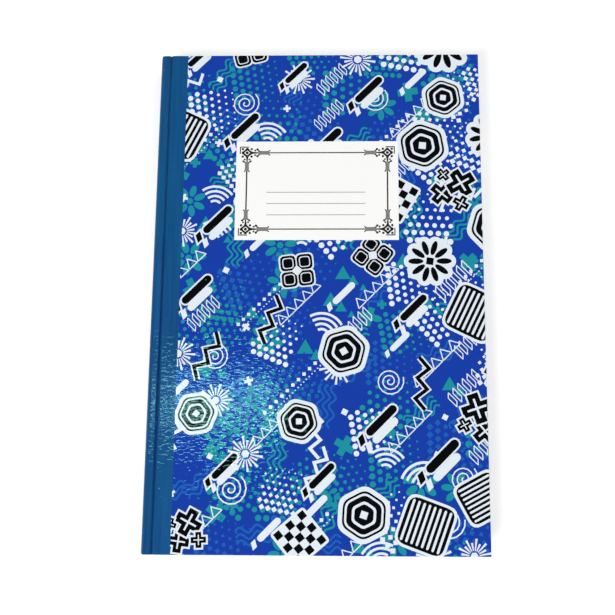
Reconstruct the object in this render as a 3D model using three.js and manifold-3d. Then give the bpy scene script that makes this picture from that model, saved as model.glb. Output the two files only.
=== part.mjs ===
// A case-bound hardcover notebook: sewn sections between two hinged boards, with a tape round the spine.
// Lengths are in millimetres. The book lies on its back cover: +X points to the fore edge, +Y to the head
// and +Z up through the front cover. The origin is the middle of the back cover's outer face.
import * as THREE from 'three';
import { mergeVertices } from 'three/addons/utils/BufferGeometryUtils.js';
import Module from 'manifold-3d';

const wasm = await Module();
wasm.setup();

// Covers
const coverWidth = 216; // from the spine's outer face to the fore edge
const coverHeight = 330; // from tail to head
const boardThickness = 2;
const boardCorner = 0.8; // radius of a board's corner, seen from above
const boardEdge = 0.3; // rounding along a board's edges
const wrapThickness = 0.2; // cover paper and spine tape
const turnIn = 15; // how far the paper and the tape fold over to the inside of a board
const tapeWidth = 18.5; // from the spine's outer face to where the printed paper starts
const pressedStep = 0.6; // slope of the pastedown, where it drops from the turn-in to the board

// Spine and hinge grooves
const grooveFromSpine = 6.9; // from the spine's outer face to the middle of the groove
const grooveWidth = 1.3;
const grooveDepth = 0.9; // how far the tape dips into the groove
const grooveEdge = 0.4; // rounding of the strip of board beside the groove
const spineRadius = 2.3; // rounding of the strip of board at the spine
const liningThickness = 0.2; // open cloth that holds the sections together
const glueThickness = 0.3;

// Leaves
const sectionCount = 8;
const sectionsWithFront = 4; // sections that turn with the front cover, when the book opens in its middle
const sectionThickness = 1;
const foldSegments = 8; // straight lines round the fold of a section
const gluedFoldSegments = 6; // those of them that the glue reaches
const endpaperThickness = 0.15;
const leafClearance = 0.05; // air between two layers of paper
const headSquare = 3; // how far a cover stands past the leaves, at head and tail
const foreSquare = 3; // and at the fore edge
const leafCut = 0.3; // slit under the groove, where a turning leaf parts from its fold

// Label on the front cover
const labelWidth = 108;
const labelHeight = 68;
const labelThickness = 0.12;
const labelFromSpine = 53.2;
const labelFromHead = 62.2;

// Places along X
const spineX = -coverWidth / 2;
const foreX = coverWidth / 2;
const grooveX = spineX + grooveFromSpine;
const coverStartX = grooveX + grooveWidth / 2;
const stripEndX = grooveX - grooveWidth / 2;
const tapeEndX = spineX + tapeWidth;
const foldCutX = grooveX - leafCut / 2;
const leafCutX = grooveX + leafCut / 2;
const pageForeX = foreX - foreSquare;
const innerLayer = Math.max(wrapThickness, liningThickness); // the turn-in and the lining share this layer
const liningX = spineX + wrapThickness;
const glueX = liningX + innerLayer;
const foldX = glueX + glueThickness;

// Places along Y
const halfHeight = coverHeight / 2;
const pageHalfHeight = halfHeight - headSquare;
const windowHalfHeight = halfHeight - turnIn;

// Depths, counted inwards from the outer face of either cover
const boardInnerDepth = wrapThickness + boardThickness;
const turnInDepth = boardInnerDepth + innerLayer;
const pastedownDepth = turnInDepth + endpaperThickness;
const flyleafDepth = pastedownDepth + leafClearance;
const flyleafInnerDepth = flyleafDepth + endpaperThickness;
const blockDepth = flyleafInnerDepth + leafClearance;
const sectionPitch = sectionThickness + leafClearance;
const bookThickness = 2 * blockDepth + sectionCount * sectionPitch - leafClearance;
const beyond = 5; // how far a cutting block runs past what it cuts

const colours = {
  board: 0x9a8f80,
  tape: 0x16487f,
  printedPaper: 0x2a48b4,
  label: 0xf7f7f5,
  endpaper: 0xf1eee6,
  leaves: 0xf4f2ea,
  cloth: 0xe4dfcf,
  glue: 0xe9dcae,
};

function heightAtDepth(depth) {
  return bookThickness - depth;
}

function solidOf(geometry) {
  const bare = geometry.clone();
  bare.deleteAttribute('normal');
  bare.deleteAttribute('uv');
  const merged = mergeVertices(bare, 1e-5);
  const vertProperties = new Float32Array(merged.attributes.position.array);
  const triVerts = new Uint32Array(merged.index.array);
  return new wasm.Manifold(new wasm.Mesh({ numProp: 3, vertProperties, triVerts }));
}

function geometryOf(solid) {
  const { vertProperties, triVerts } = solid.getMesh();
  const shared = new THREE.BufferGeometry();
  shared.setAttribute('position', new THREE.BufferAttribute(vertProperties, 3));
  shared.setIndex(new THREE.BufferAttribute(triVerts, 1));
  const flat = shared.toNonIndexed();
  flat.computeVertexNormals();
  return flat;
}

// A block between two limits along each axis.
function block(alongX, alongY, alongZ) {
  const geometry = new THREE.BoxGeometry(1, 1, 1);
  const { position } = geometry.attributes;
  for (let i = 0; i < position.count; i += 1) {
    const x = position.getX(i) < 0 ? alongX[0] : alongX[1];
    const y = position.getY(i) < 0 ? alongY[0] : alongY[1];
    const z = position.getZ(i) < 0 ? alongZ[0] : alongZ[1];
    position.setXYZ(i, x, y, z);
  }
  return geometry;
}

// A flat slab with round corners, seen from above, and rounded upper and lower edges.
function easedSlab(alongX, alongY, alongZ, corner, edge) {
  const [left, right] = alongX;
  const [bottom, top] = alongY;
  const outline = new THREE.Shape();
  outline.moveTo(left + corner, bottom);
  outline.absarc(right - corner, bottom + corner, corner, -Math.PI / 2, 0, false);
  outline.absarc(right - corner, top - corner, corner, 0, Math.PI / 2, false);
  outline.absarc(left + corner, top - corner, corner, Math.PI / 2, Math.PI, false);
  outline.absarc(left + corner, bottom + corner, corner, Math.PI, 1.5 * Math.PI, false);
  const geometry = new THREE.ExtrudeGeometry(outline, {
    depth: alongZ[1] - alongZ[0] - 2 * edge,
    curveSegments: 6,
    bevelThickness: edge,
    bevelSize: edge,
    bevelOffset: -edge,
    bevelSegments: 3,
  });
  return geometry.translate(0, 0, alongZ[0] + edge);
}

// A profile drawn across the book, as points of x and z, run along Y on both sides of the middle.
function runAlongBook(points, halfLength, edge = 0) {
  const profile = new THREE.Shape(points);
  const geometry = new THREE.ExtrudeGeometry(profile, {
    depth: 2 * (halfLength - edge),
    bevelEnabled: edge > 0,
    bevelThickness: edge,
    bevelSize: edge,
    bevelOffset: -edge,
    bevelSegments: 3,
  });
  return geometry.rotateX(Math.PI / 2).translate(0, halfLength - edge, 0);
}

function arcPoints(centreX, centreZ, radius, startDegrees, endDegrees, segments) {
  const points = [];
  for (let i = 0; i <= segments; i += 1) {
    const degrees = startDegrees + ((endDegrees - startDegrees) * i) / segments;
    const angle = THREE.MathUtils.degToRad(degrees);
    points.push(new THREE.Vector2(centreX + radius * Math.cos(angle), centreZ + radius * Math.sin(angle)));
  }
  return points;
}

function mesh(name, geometry, colour, roughness = 0.8) {
  const material = new THREE.MeshStandardMaterial({ color: colour, roughness, metalness: 0 });
  const piece = new THREE.Mesh(geometry, material);
  piece.name = name;
  return piece;
}

// The whole spine, from groove to groove, drawn in by the same amount all round.
function spineEnvelope(inset) {
  const left = spineX + inset;
  const right = stripEndX - inset;
  const low = inset;
  const high = bookThickness - inset;
  const round = spineRadius + wrapThickness - inset;
  const corner = grooveEdge + wrapThickness - inset;
  const outline = [
    ...arcPoints(right - corner, high - corner, corner, 0, 90, 4),
    ...arcPoints(left + round, high - round, round, 90, 180, 10),
    ...arcPoints(left + round, low + round, round, 180, 270, 10),
    ...arcPoints(right - corner, low + corner, corner, 270, 360, 4),
  ];
  return solidOf(runAlongBook(outline, halfHeight - inset, boardEdge + wrapThickness - inset));
}

// The two narrow strips of board between the spine and the grooves.
function hingeStrips() {
  const core = spineEnvelope(wrapThickness);
  const everyX = [spineX - beyond, foreX];
  const everyY = [-coverHeight, coverHeight];
  const upper = block(everyX, everyY, [heightAtDepth(boardInnerDepth), bookThickness + beyond]);
  const lower = block(everyX, everyY, [-beyond, boardInnerDepth]);
  return { front: core.intersect(solidOf(upper)), back: core.intersect(solidOf(lower)) };
}

// The tape goes round both strips and the spine, dips into the grooves and is turned in at head and tail.
function spineTape(strips) {
  const everyY = [-coverHeight, coverHeight];
  const insideStrip = [-halfHeight + wrapThickness, halfHeight - wrapThickness];
  const leavesRoom = block([glueX, foreX], everyY, [turnInDepth, heightAtDepth(turnInDepth)]);
  const liningRoom = block(
    [liningX, foreX],
    [-windowHalfHeight, windowHalfHeight],
    [boardInnerDepth, heightAtDepth(boardInnerDepth)],
  );
  const bareStripEdge = block(
    [stripEndX - wrapThickness, foreX],
    insideStrip,
    [grooveDepth, heightAtDepth(grooveDepth)],
  );
  let tape = spineEnvelope(0);
  tape = tape.subtract(strips.front).subtract(strips.back);
  for (const room of [leavesRoom, liningRoom, bareStripEdge]) {
    tape = tape.subtract(solidOf(room));
  }
  return tape;
}

// Open cloth over the back of the sections, with a flange under each strip.
function spineLining() {
  const alongY = [-windowHalfHeight, windowHalfHeight];
  const outside = block([liningX, foldCutX], alongY, [boardInnerDepth, heightAtDepth(boardInnerDepth)]);
  const inside = block(
    [liningX + liningThickness, foreX],
    [-coverHeight, coverHeight],
    [boardInnerDepth + liningThickness, heightAtDepth(boardInnerDepth + liningThickness)],
  );
  return solidOf(outside).subtract(solidOf(inside));
}

function sectionMiddle(index) {
  return heightAtDepth(blockDepth + index * sectionPitch + sectionThickness / 2);
}

// The round back of a section, where its sheets are folded, from the top down or only the part in the glue.
function foldArc(index, segments) {
  const radius = sectionThickness / 2;
  const reach = (90 * segments) / foldSegments;
  return arcPoints(foldX + radius, sectionMiddle(index), radius, 180 - reach, 180 + reach, segments);
}

// Glue that fills the valleys between the folds.
function spineGlue() {
  const valleys = [];
  for (let index = 0; index < sectionCount; index += 1) {
    valleys.push(...foldArc(index, gluedFoldSegments));
  }
  const top = valleys[0].y;
  const bottom = valleys[valleys.length - 1].y;
  const outline = [new THREE.Vector2(glueX, bottom), new THREE.Vector2(glueX, top), ...valleys];
  return runAlongBook(outline, pageHalfHeight);
}

// A section from its fold to the given place along X.
function foldedSection(index, endX) {
  const arc = foldArc(index, foldSegments);
  const top = arc[0].y;
  const bottom = arc[arc.length - 1].y;
  const outline = [new THREE.Vector2(endX, bottom), new THREE.Vector2(endX, top), ...arc];
  return runAlongBook(outline, pageHalfHeight);
}

function turningLeaves(index) {
  const middle = sectionMiddle(index);
  const alongZ = [middle - sectionThickness / 2, middle + sectionThickness / 2];
  return block([leafCutX, pageForeX], [-pageHalfHeight, pageHalfHeight], alongZ);
}

// The endpaper's fold in the gutter: pastedown and flyleaf are the two halves of one sheet.
function endpaperFold(outerHeight, innerHeight) {
  const low = Math.min(outerHeight, innerHeight);
  const high = Math.max(outerHeight, innerHeight);
  const alongY = [-pageHalfHeight, pageHalfHeight];
  const sheet = solidOf(block([foldX, foldCutX], alongY, [low, high]));
  const between = block(
    [foldX + endpaperThickness, foreX],
    [-coverHeight, coverHeight],
    [low + endpaperThickness, high - endpaperThickness],
  );
  return sheet.subtract(solidOf(between));
}

function coverBoard() {
  return easedSlab(
    [coverStartX + wrapThickness, foreX - wrapThickness],
    [-halfHeight + wrapThickness, halfHeight - wrapThickness],
    [heightAtDepth(boardInnerDepth), heightAtDepth(wrapThickness)],
    boardCorner,
    boardEdge,
  );
}

// Paper and tape as one skin: the outer face, the three outer edges and the turn-ins.
function coverSkin() {
  const envelope = easedSlab(
    [coverStartX, foreX],
    [-halfHeight, halfHeight],
    [heightAtDepth(boardInnerDepth + wrapThickness), bookThickness],
    boardCorner + wrapThickness,
    boardEdge + wrapThickness,
  );
  const bareInside = block(
    [spineX, foreX - turnIn],
    [-windowHalfHeight, windowHalfHeight],
    [0, heightAtDepth(boardInnerDepth)],
  );
  const bareHingeEdge = block(
    [spineX, coverStartX + wrapThickness],
    [-halfHeight + wrapThickness, halfHeight - wrapThickness],
    [0, heightAtDepth(grooveDepth)],
  );
  let skin = solidOf(envelope).subtract(solidOf(coverBoard()));
  skin = skin.subtract(solidOf(bareInside)).subtract(solidOf(bareHingeEdge));
  return skin;
}

function coverTape() {
  const overTape = block([spineX, tapeEndX], [-coverHeight, coverHeight], [0, bookThickness + beyond]);
  return coverSkin().intersect(solidOf(overTape));
}

function coverPaper() {
  const pastTape = block([tapeEndX, foreX + beyond], [-coverHeight, coverHeight], [0, bookThickness + beyond]);
  return coverSkin().intersect(solidOf(pastTape));
}

// The pastedown lies on the turn-ins all round and is pressed down to the board inside them.
function pastedown() {
  const boardFace = heightAtDepth(boardInnerDepth);
  const turnInFace = heightAtDepth(turnInDepth);
  const startX = coverStartX + wrapThickness;
  const alongY = [-pageHalfHeight, pageHalfHeight];
  const onTurnIn = block([startX, pageForeX], alongY, [heightAtDepth(pastedownDepth), turnInFace]);
  const insideTurnIn = block(
    [startX, foreX - turnIn],
    [-windowHalfHeight, windowHalfHeight],
    [heightAtDepth(pastedownDepth), boardFace],
  );
  const pressedHalfHeight = windowHalfHeight - pressedStep;
  const pressed = block(
    [spineX, foreX - turnIn - pressedStep],
    [-pressedHalfHeight, pressedHalfHeight],
    [0, boardFace - endpaperThickness],
  );
  return solidOf(onTurnIn).add(solidOf(insideTurnIn)).subtract(solidOf(pressed));
}

function flyleaf() {
  const alongZ = [heightAtDepth(flyleafInnerDepth), heightAtDepth(flyleafDepth)];
  return block([leafCutX, pageForeX], [-pageHalfHeight, pageHalfHeight], alongZ);
}

function label() {
  const alongX = [spineX + labelFromSpine, spineX + labelFromSpine + labelWidth];
  const alongY = [halfHeight - labelFromHead - labelHeight, halfHeight - labelFromHead];
  return block(alongX, alongY, [bookThickness, bookThickness + labelThickness]);
}

// One cover with its endpaper, drawn as the front one.
function cover(side) {
  const group = new THREE.Group();
  group.add(mesh(`${side}_board`, coverBoard(), colours.board));
  group.add(mesh(`${side}_cover_tape`, geometryOf(coverTape()), colours.tape, 0.4));
  group.add(mesh(`${side}_cover_paper`, geometryOf(coverPaper()), colours.printedPaper, 0.3));
  group.add(mesh(`${side}_pastedown`, geometryOf(pastedown()), colours.endpaper));
  group.add(mesh(`${side}_flyleaf`, flyleaf(), colours.endpaper));
  return group;
}

function spine() {
  const group = new THREE.Group();
  const strips = hingeStrips();
  group.add(mesh('front_hinge_strip', geometryOf(strips.front), colours.board));
  group.add(mesh('back_hinge_strip', geometryOf(strips.back), colours.board));
  group.add(mesh('spine_tape', geometryOf(spineTape(strips)), colours.tape, 0.4));
  group.add(mesh('spine_lining', geometryOf(spineLining()), colours.cloth));
  group.add(mesh('spine_glue', spineGlue(), colours.glue, 0.5));
  const frontFold = endpaperFold(heightAtDepth(turnInDepth), heightAtDepth(flyleafInnerDepth));
  group.add(mesh('front_endpaper_fold', geometryOf(frontFold), colours.endpaper));
  const backFold = endpaperFold(turnInDepth, flyleafInnerDepth);
  group.add(mesh('back_endpaper_fold', geometryOf(backFold), colours.endpaper));
  return group;
}

function textBlock() {
  const group = new THREE.Group();
  for (let index = 0; index < sectionCount; index += 1) {
    const name = `section_${index + 1}`;
    if (index < sectionsWithFront) {
      group.add(mesh(`${name}_fold`, foldedSection(index, foldCutX), colours.leaves));
      group.add(mesh(`${name}_leaves`, turningLeaves(index), colours.leaves));
    } else {
      group.add(mesh(name, foldedSection(index, pageForeX), colours.leaves));
    }
  }
  return group;
}

const frontCover = cover('front');
frontCover.add(mesh('label', label(), colours.label, 0.5));

// The back cover is the front one turned over, about a line along X.
const backCover = cover('back');
backCover.rotation.x = Math.PI;
backCover.position.z = bookThickness;

const group = new THREE.Group();
group.name = 'hardcover_notebook';
group.add(spine(), textBlock(), frontCover, backCover);

export default group;
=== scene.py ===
"""A tall quarter-bound hardcover notebook: printed paper over boards, a tape spine and a title label.

Lengths in the drawing functions are in millimetres, in the book's own frame: X from the spine to the fore
edge, Y from tail to head, Z up out of the front cover.
"""

import math
import random
from functools import partial

import bmesh
import bpy
from mathutils import Matrix, Quaternion, Vector
from mathutils.geometry import delaunay_2d_cdt


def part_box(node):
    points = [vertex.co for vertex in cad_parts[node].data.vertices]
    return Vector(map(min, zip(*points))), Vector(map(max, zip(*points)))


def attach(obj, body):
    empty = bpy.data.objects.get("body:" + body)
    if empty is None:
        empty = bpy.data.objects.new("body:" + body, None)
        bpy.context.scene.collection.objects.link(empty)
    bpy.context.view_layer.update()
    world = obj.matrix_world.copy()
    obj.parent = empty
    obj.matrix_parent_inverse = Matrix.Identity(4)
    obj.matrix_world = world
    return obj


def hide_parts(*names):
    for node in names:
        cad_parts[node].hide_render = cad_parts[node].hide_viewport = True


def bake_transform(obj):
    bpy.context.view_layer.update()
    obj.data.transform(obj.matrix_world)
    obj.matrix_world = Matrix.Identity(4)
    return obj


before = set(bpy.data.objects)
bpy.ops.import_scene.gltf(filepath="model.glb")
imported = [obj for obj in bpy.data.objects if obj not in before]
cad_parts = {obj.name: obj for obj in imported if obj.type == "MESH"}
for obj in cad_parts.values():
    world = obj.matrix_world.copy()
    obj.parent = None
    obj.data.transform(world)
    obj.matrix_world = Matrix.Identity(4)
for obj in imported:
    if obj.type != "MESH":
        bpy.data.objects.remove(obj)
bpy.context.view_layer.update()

MM = 0.001


def box_mm(node):
    low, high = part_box(node)
    return low / MM, high / MM


# Sizes of the book, read from the frame
paper_low, paper_high = box_mm("front_cover_paper")
tape_low, tape_high = box_mm("front_cover_tape")
strip_low, strip_high = box_mm("front_hinge_strip")
spine_low, spine_high = box_mm("spine_tape")
board_low, board_high = box_mm("front_board")
label_low, label_high = box_mm("label")
fold_low, fold_high = box_mm("section_1_fold")
pastedown_low, pastedown_high = box_mm("front_pastedown")
flyleaf_low, flyleaf_high = box_mm("front_flyleaf")
BOOK_TOP = spine_high.z
SPINE_X = spine_low.x
FORE_X = paper_high.x
HALF_HEIGHT = paper_high.y
TAPE_END_X = tape_high.x
GROOVE_X = (spine_high.x + tape_low.x) / 2
WRAP = paper_high.z - board_high.z
COVER_DEPTH = paper_high.z - paper_low.z
ENDPAPER_THICKNESS = flyleaf_high.z - flyleaf_low.z

# The book's other sizes
TURN_IN = 15.0
EDGE_ROUND = 0.5
GROOVE_DEPTH = 0.9
GROOVE_HALF_WIDTH = 1.2
SPINE_ROUND = 2.5
SPINE_TURN_DEPTH = 0.4
SPINE_CORNER = 1.5
LEAVES_IN_SECTION = 12
SECTIONS = 8
SECTIONS_WITH_FRONT = 4
SHEET_SHARE = 0.82
UNEVEN_FORE_EDGE = 0.25
UNEVEN_HEAD = 0.2
GUTTER_STATIONS = (60.0, 14.0, 7.0, 6.0, 5.0, 4.0, 3.0, 2.0, 1.0, 0.0, -1.0, -2.0, -3.0, -5.0)
GUTTER = [GROOVE_X + reach for reach in GUTTER_STATIONS]
CORNER_STEPS = 5
SHARP_EDGE = math.radians(35.0)

# The printed pattern
SPREAD_PAST_EDGE = 18.0
PRINTED_BEYOND_EDGE = 12.0
PLACE_TRIES = 2500
LARGE_SHAPE_AREA = 30.0

# The label's frame and lines
FRAME_FROM_SIDE = 7.2
FRAME_FROM_BOTTOM = 7.4
FRAME_FROM_TOP = 7.9
SPINDLE_REACH = 14.8
SPINDLE_UPRIGHT = 0.86
FIRST_LINE_FROM_TOP = 35.4
LINE_PITCH = 7.75
LINE_LENGTH = 65.4
LINE_WIDTH = 0.45

# The photograph's view
LENS_PX = 860.0
PICTURE_PX = 615.0
SENSOR_MM = 36.0
CAMERA_TARGET = Vector((10.6, -8.4, BOOK_TOP)) * MM
CAMERA_DISTANCE = 0.5555
CAMERA_AZIMUTH = 6.96
CAMERA_ELEVATION = 79.57
CAMERA_ROLL = -6.8
CENTRE_OFFSET_PX = (26.0, -2.6)


def srgb(red, green, blue):
    """A screen colour, 0 to 255, as linear light."""
    channels = []
    for value in (red, green, blue):
        share = value / 255
        channels.append(share / 12.92 if share <= 0.04045 else ((share + 0.055) / 1.055) ** 2.4)
    return (*channels, 1.0)


INKS = {
    "blue": srgb(20, 62, 168),
    "sky": srgb(30, 96, 186),
    "teal": srgb(28, 146, 160),
    "white": srgb(232, 240, 247),
    "black": srgb(2, 3, 6),
    "paper": srgb(250, 250, 249),
    "frame": srgb(14, 12, 12),
    "grey": srgb(58, 56, 54),
    "hatch": srgb(76, 74, 72),
    "tint": srgb(184, 182, 180),
    "rule": srgb(140, 139, 138),
}


# Outlines


def polygon(sides, radius, turn=0.0):
    start = math.radians(turn)
    step = 2 * math.pi / sides
    angles = [start + step * i for i in range(sides)]
    return [(radius * math.cos(a), radius * math.sin(a)) for a in angles]


def circle(radius, steps=0):
    return polygon(steps or max(10, min(48, int(10 + radius * 4))), radius)


def rectangle(width, height):
    x = width / 2
    y = height / 2
    return [(-x, -y), (x, -y), (x, y), (-x, y)]


def rounded(points, radius, steps=4):
    """The outline with each corner drawn as a curve that starts radius away from it."""
    made = []
    count = len(points)
    for i in range(count):
        corner = Vector(points[i])
        before = (Vector(points[i - 1]) - corner).normalized() * radius + corner
        after = (Vector(points[(i + 1) % count]) - corner).normalized() * radius + corner
        for k in range(steps + 1):
            t = k / steps
            made.append(tuple(before * (1 - t) ** 2 + corner * 2 * t * (1 - t) + after * t**2))
    return made


def capsule(length, width, steps):
    half = length / 2 - width / 2
    made = []
    for side in (1, -1):
        for i in range(steps + 1):
            angle = -math.pi / 2 + math.pi * i / steps
            made.append((side * (half + width / 2 * math.cos(angle)), side * width / 2 * math.sin(angle)))
    return made


def stroke_sides(points, width):
    """The two sides of a line of the given width along an open run of points."""
    left = []
    right = []
    for i, point in enumerate(points):
        here = Vector(point)
        arriving = (here - Vector(points[i - 1])).normalized() if i > 0 else None
        leaving = (Vector(points[i + 1]) - here).normalized() if i + 1 < len(points) else None
        along = (arriving or leaving) + (leaving or arriving)
        across = Vector((-along.y, along.x)).normalized()
        reach = width / 2
        if arriving and leaving:
            reach /= max(0.35, across.dot(Vector((-arriving.y, arriving.x))))
        left.append(tuple(here + across * reach))
        right.append(tuple(here - across * reach))
    return left, right


def arc(radius, start, end):
    steps = 12
    made = []
    for i in range(steps + 1):
        angle = math.radians(start + (end - start) * i / steps)
        made.append((radius * math.cos(angle), radius * math.sin(angle)))
    return made


class Artwork:
    """Flat printed shapes in millimetres. A later shape covers the ones before it."""

    def __init__(self, ground):
        self.ground = ground
        self.shapes = []

    def fill(self, ink, points, x=0.0, y=0.0, turn=0.0):
        angle = math.radians(turn)
        c = math.cos(angle)
        s = math.sin(angle)
        self.shapes.append((ink, [Vector((x + c * u - s * v, y + s * u + c * v)) for u, v in points]))

    def line(self, ink, points, width, x=0.0, y=0.0, turn=0.0):
        left, right = stroke_sides(points, width)
        for i in range(len(points) - 1):
            self.fill(ink, [left[i], left[i + 1], right[i + 1], right[i]], x, y, turn)

    def closed_line(self, ink, corners, width, x, y, turn):
        """Each side is turned a hair more than the last, so that no two edges lie exactly on each other."""
        for k, corner in enumerate(corners):
            self.line(ink, [corner, corners[(k + 1) % len(corners)]], width, x, y, turn + 0.01 * k)


# Motifs of the printed pattern


def away_from(x, y, along, across, turn):
    """The point that lies so far along and across from x, y, with both directions turned."""
    angle = math.radians(turn)
    c = math.cos(angle)
    s = math.sin(angle)
    return x + (along * c - across * s), y + (along * s + across * c)


def moved(points, x, y=0.0):
    return [(u + x, v + y) for u, v in points]


def nested_hexagons(art, x, y, size, turn):
    for i, share in enumerate((1.0, 0.83, 0.75, 0.67, 0.47, 0.37)):
        hexagon = rounded(polygon(6, size * share, turn), size * share * 0.25)
        art.fill("black" if i % 2 else "white", hexagon, x, y)
    art.fill("white", polygon(4, size * 0.17, turn), x, y)


def striped_square(art, x, y, size, turn):
    art.fill("white", rounded(rectangle(size + 3.4, size + 3.4), size * 0.24), x, y, turn)
    art.fill("black", rounded(rectangle(size, size), size * 0.2), x, y, turn)
    count = 8
    pitch = size / (count + 0.7)
    for i in range(count):
        bar = capsule(size - 3.4, pitch * 0.46, 4)
        art.fill("white", moved(bar, 0.0, (i - (count - 1) / 2) * pitch), x, y, turn)


def checker(art, x, y, size, turn):
    cells = 5
    cell = size / cells
    art.fill("white", rounded(rectangle(size + 3.2, size + 3.2), 2.6), x, y, turn)
    for column in range(cells):
        for row in range(cells):
            if (column + row) % 2 == 0:
                u = (column - (cells - 1) / 2) * cell
                v = (row - (cells - 1) / 2) * cell
                art.fill("black", moved(rectangle(cell * 0.98, cell * 0.98), u, v), x, y, turn)


def daisy(art, x, y, size, turn):
    """Black petals round a square eye, on a white scalloped ground."""
    for i in range(10):
        art.fill("white", circle(size * 0.3, 16), *away_from(x, y, size * 0.72, 0.0, turn + 36 * i))
    art.fill("white", circle(size * 0.8), x, y)
    for i in range(10):
        petal = [(size * 0.55 + size * 0.3 * u, size * 0.115 * v) for u, v in circle(1.0, 14)]
        art.fill("black", petal, x, y, turn + 36 * i)
    art.fill("black", polygon(4, size * 0.2, turn), x, y)


def quatrefoil(art, x, y, size, turn):
    for i, share in enumerate((1.0, 0.84, 0.6, 0.5)):
        lobe = rounded(rectangle(size * share * 0.72, size * share * 0.72), size * share * 0.22)
        for k in range(4):
            place = away_from(x, y, size * 0.46, 0.0, turn + 90 * k)
            art.fill("black" if i % 2 else "white", lobe, *place, turn + 45)
    art.fill("white", polygon(4, size * 0.22, turn + 45), x, y)


def cross(size, width):
    a = size / 2
    b = width / 2
    arm = [(-b, -a), (b, -a), (b, -b)]
    made = []
    for _ in range(4):
        made += arm
        arm = [(-v, u) for u, v in arm]
    return made


def plus(art, x, y, size, turn):
    art.fill("white", cross(size + 2.2, size * 0.38 + 2.2), x, y, turn)
    art.fill("black", cross(size, size * 0.38), x, y, turn)
    art.fill("white", cross(size * 0.66, size * 0.07), x, y, turn)


def plus_cluster(art, x, y, size, turn):
    for angle, reach, share in ((200, 0.42, 0.86), (20, 0.4, 1.05), (290, 0.68, 0.6), (110, 0.6, 0.5)):
        place = away_from(x, y, size * reach, 0.0, angle + turn)
        plus(art, *place, size * share, 18 + turn + angle / 9)


def streak(art, x, y, length, width, turn, ink):
    """A rounded bar with a slanted block behind it."""
    lean = width * 0.5
    bar = moved(capsule(length * 0.72, width, 6), length * 0.14)
    block = [(-lean, -width / 2), (lean * 0.6, -width / 2), (lean * 1.6, width / 2), (0.0, width / 2)]
    block = moved(block, -length * 0.38)
    if ink != "white":
        art.fill("white", moved(capsule(length * 0.72 + 2.2, width + 2.2, 6), length * 0.14), x, y, turn)
        art.line("white", [*block, block[0], block[1]], 2.2, x, y, turn)
    art.fill(ink, bar, x, y, turn)
    art.fill(ink, block, x, y, turn)


def streak_pair(art, x, y, size, turn):
    streak(art, *away_from(x, y, -size * 0.12, -size * 0.4, 45), size * 1.9, size * 0.32, 45, "white")
    streak(art, x, y, size * 2.3, size * 0.34, 45, "black")


def zigzag(art, x, y, size, turn, ink="black"):
    count = 5
    pitch = size * 0.42
    points = [(i * pitch - count * pitch / 2, size * (0.22 if i % 2 else -0.22)) for i in range(count + 1)]
    if ink == "black":
        art.line("white", points, size * 0.15 + 1.8, x, y, turn)
    art.line(ink, points, size * 0.15, x, y, turn)


def diamond_chain(art, x, y, size, turn):
    """A row of small diamonds, with a finer row of dots beside it."""
    for i in range(11):
        art.fill("white", polygon(4, size * 0.3), *away_from(x, y, (i - 5) * size, 0.0, 45), 45)
    for i in range(22):
        art.fill("white", circle(size * 0.1, 6), *away_from(x, y, (i - 10.5) * size / 2, -size * 0.7, 45))


def fading_field(art, x, y, size, turn, ink="white", sides=0):
    """Rows of dots, or of diamonds, that shrink from one side to the other."""
    columns = 7
    rows = 6
    pitch = size * 0.42
    for column in range(columns):
        radius = pitch * (0.4 - 0.045 * column)
        for row in range(rows):
            u = (column - (columns - 1) / 2) * pitch
            v = (row - (rows - 1) / 2 + (0.5 if column % 2 else 0.0)) * pitch
            shape = polygon(sides, radius * 1.15) if sides else circle(radius, 8)
            art.fill(ink, moved(shape, u, v), x, y, turn)


def ray_burst(art, x, y, size, turn):
    count = 20
    inner = size * 0.3
    for i in range(count):
        reach = size if i % 2 else size * 0.76
        ray = [(inner, -0.3), (reach, -size * 0.065), (reach, size * 0.065), (inner, 0.3)]
        art.fill("white", ray, x, y, turn + 360 * i / count)
    art.fill("white", polygon(6, inner * 0.78, turn), x, y)


def arc_fan(art, x, y, size, turn):
    for i in range(4):
        art.line("white", arc(size * (1 - i * 0.23), 0, 90), size * 0.11, x, y, turn)


def petals(art, x, y, size, turn):
    for i in range(7):
        petal = [(size * 0.62 + size * 0.36 * u, size * 0.2 * v) for u, v in circle(1.0, 10)]
        art.fill("teal", petal, x, y, turn + 360 * i / 7)
    art.fill("teal", circle(size * 0.19, 12), x, y)


def open_triangles(art, x, y, size, turn):
    for i in range(5):
        place = away_from(x, y, (i - 2) * size * 0.78, 0.0, 45)
        art.closed_line("white", polygon(3, size * 0.42, 90), size * 0.07, *place, 45.0)


def waves(art, x, y, size, turn, ink="teal"):
    steps = 24
    for i in range(3):
        points = []
        for k in range(steps + 1):
            points.append(((k / steps - 0.5) * size * 2.4, size * 0.17 * math.sin(k / steps * 5 * math.pi)))
        art.line(ink, moved(points, 0.0, (i - 1) * size * 0.34), size * 0.12, x, y, turn)


def spiral(art, x, y, size, turn):
    steps = 45
    points = []
    for i in range(3, steps + 1):
        angle = math.radians(24.0 * i)
        points.append((size * i / steps * math.cos(angle), size * i / steps * math.sin(angle)))
    art.line("white", points, size * 0.085, x, y, turn)


def solid_cross(art, x, y, size, turn):
    art.fill("teal", cross(size * 1.2, size * 0.42), x, y, turn)
    place = away_from(x, y, size * 0.95, -size * 0.55, turn)
    art.fill("teal", cross(size * 0.6, size * 0.22), *place, turn + 20)


def triangles(art, x, y, size, turn):
    for k in range(3):
        triangle = polygon(3, size * (0.55 - 0.14 * k), 90)
        art.fill("teal", triangle, x + size * 0.62 * k, y - size * 0.42 * k)


def small_diamond(art, x, y, size, turn):
    art.fill("white", polygon(4, size * 0.24), x, y, 20)


def small_cross(art, x, y, size, turn):
    art.fill("white", cross(size * 0.6, size * 0.2), x, y, turn)


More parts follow.
